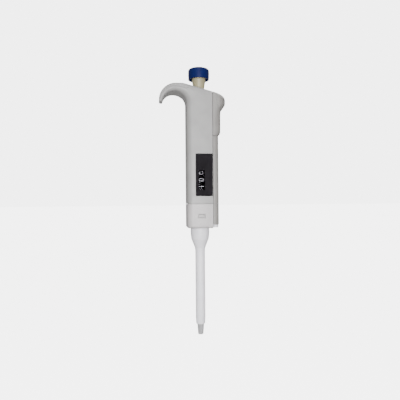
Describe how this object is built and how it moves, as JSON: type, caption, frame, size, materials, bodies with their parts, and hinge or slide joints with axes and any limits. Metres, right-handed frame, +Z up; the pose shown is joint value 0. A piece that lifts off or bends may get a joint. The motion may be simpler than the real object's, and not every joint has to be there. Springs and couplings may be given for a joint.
{
  "type": "adjustable micropipette",
  "caption": "Adjustable air-displacement micropipette with finger hook, push button, volume counter, side tip ejector and nozzle cone.",
  "frame": {"origin": "on the pipette's axis, at the end face of the nozzle", "axes": "+Z up the axis to the push button, finger hook on -X, tip ejector on +X, display on -Y"},
  "size_m": [0.0586, 0.025, 0.2375],
  "materials": {
    "light_grey_plastic": "satin moulded plastic",
    "lower_grey_plastic": "satin moulded plastic",
    "white_plastic": "satin moulded plastic",
    "nozzle_plastic": "satin moulded plastic",
    "cream_plastic": "satin moulded plastic",
    "blue_plastic": "semi-gloss moulded plastic",
    "insert_plastic": "matte moulded plastic",
    "black_plastic": "satin moulded plastic",
    "clear_plastic": "clear moulded plastic",
    "nylon": "natural nylon",
    "rubber": "matte rubber",
    "brass": "turned brass",
    "steel": "turned steel"
  },
  "bodies": {
    "handle": {"handle_shell": "light_grey_plastic", "stem_guide_bush": "nylon", "lower_housing": "lower_grey_plastic", "display_panel": "black_plastic", "window_lens": "clear_plastic", "counter_frame": "black_plastic", "counter_axle": "steel", "carrier_plate_1": "black_plastic", "carrier_plate_2": "black_plastic", "brake_o_ring": "rubber", "threaded_nut": "brass", "tip_cone": "nozzle_plastic", "piston_seal": "nylon", "seal_o_ring": "rubber", "blowout_cylinder": "nylon", "spring_seat": "steel", "main_spring": "steel", "blowout_spring": "steel", "ejector_spring": "steel"},
    "dial": {"drive_sleeve": "nylon", "ones_ring": "black_plastic", "button_spring": "steel"},
    "button": {"stem": "cream_plastic", "control_rod": "steel", "push_button_cap": "blue_plastic", "button_insert": "insert_plastic"},
    "tens": {"tens_ring": "black_plastic"},
    "hundreds": {"hundreds_ring": "black_plastic"},
    "pinion_1": {"transfer_pinion_1": "nylon"},
    "pinion_2": {"transfer_pinion_2": "nylon"},
    "stop": {"stop_washer": "steel"},
    "screw": {"volume_screw": "steel"},
    "piston": {"piston_rod": "steel", "piston_head": "nylon"},
    "blowout": {"blowout_washer": "steel"},
    "ejector": {"ejector_button": "light_grey_plastic", "ejector_bar": "light_grey_plastic", "ejector_sleeve": "white_plastic", "ejector_screw": "steel"},
    "latch": {"latch_clip": "white_plastic"}
  },
  "joints": [
    {"name": "volume_turn", "type": "hinge", "parent": "handle", "child": "dial", "pos_m": [0, 0, 0.15], "axis": [0, 0, 1], "range_deg": [-3240, 0]},
    {"name": "button_push", "type": "slide", "parent": "dial", "child": "button", "axis": [0, 0, -1], "range_m": [0, 0.0062], "stiffness_N_per_m": 500, "springref_m": -0.005, "deforming": ["button_spring"]},
    {"name": "tens_turn", "type": "hinge", "parent": "handle", "child": "tens", "pos_m": [0, 0, 0.138], "axis": [0, 0, 1], "range_deg": [-324, 0]},
    {"name": "hundreds_turn", "type": "hinge", "parent": "handle", "child": "hundreds", "pos_m": [0, 0, 0.132], "axis": [0, 0, 1], "range_deg": [-32.4, 0]},
    {"name": "pinion_1_turn", "type": "hinge", "parent": "handle", "child": "pinion_1", "pos_m": [0, 0.0049, 0.141], "axis": [0, 0, 1], "range_deg": [-1080, 0]},
    {"name": "pinion_2_turn", "type": "hinge", "parent": "handle", "child": "pinion_2", "pos_m": [0, 0.0049, 0.135], "axis": [0, 0, 1], "range_deg": [-108, 0]},
    {"name": "screw_travel", "type": "slide", "parent": "handle", "child": "stop", "axis": [0, 0, 1], "range_m": [-0.0045, 0]},
    {"name": "screw_turn", "type": "hinge", "parent": "stop", "child": "screw", "pos_m": [0, 0, 0.124], "axis": [0, 0, 1], "range_deg": [-3240, 0]},
    {"name": "piston_push", "type": "slide", "parent": "stop", "child": "piston", "axis": [0, 0, -1], "range_m": [0, 0.0062], "deforming": ["main_spring"]},
    {"name": "blowout_push", "type": "slide", "parent": "handle", "child": "blowout", "axis": [0, 0, -1], "range_m": [0, 0.0013], "deforming": ["blowout_spring"]},
    {"name": "ejector_push", "type": "slide", "parent": "handle", "child": "ejector", "axis": [0, 0, -1], "range_m": [0, 0.008], "stiffness_N_per_m": 300, "springref_m": -0.005, "deforming": ["ejector_spring"]},
    {"name": "latch_press", "type": "slide", "parent": "handle", "child": "latch", "axis": [0, 1, 0], "range_m": [0, 0.0009], "stiffness_N_per_m": 2000, "springref_m": -0.0005}
  ],
  "couplings": [
    {"joint": "volume_turn", "follows": "screw_travel", "rad_per_m": 12566},
    {"joint": "tens_turn", "follows": "screw_travel", "rad_per_m": 1256.6},
    {"joint": "hundreds_turn", "follows": "screw_travel", "rad_per_m": 125.66},
    {"joint": "pinion_1_turn", "follows": "screw_travel", "rad_per_m": 4188.8},
    {"joint": "pinion_2_turn", "follows": "screw_travel", "rad_per_m": 418.88},
    {"joint": "screw_turn", "follows": "screw_travel", "rad_per_m": 12566},
    {"joint": "piston_push", "follows": "button_push", "ratio": 1},
    {"joint": "blowout_push", "follows": "button_push", "ratio": 0.2}
  ]
}
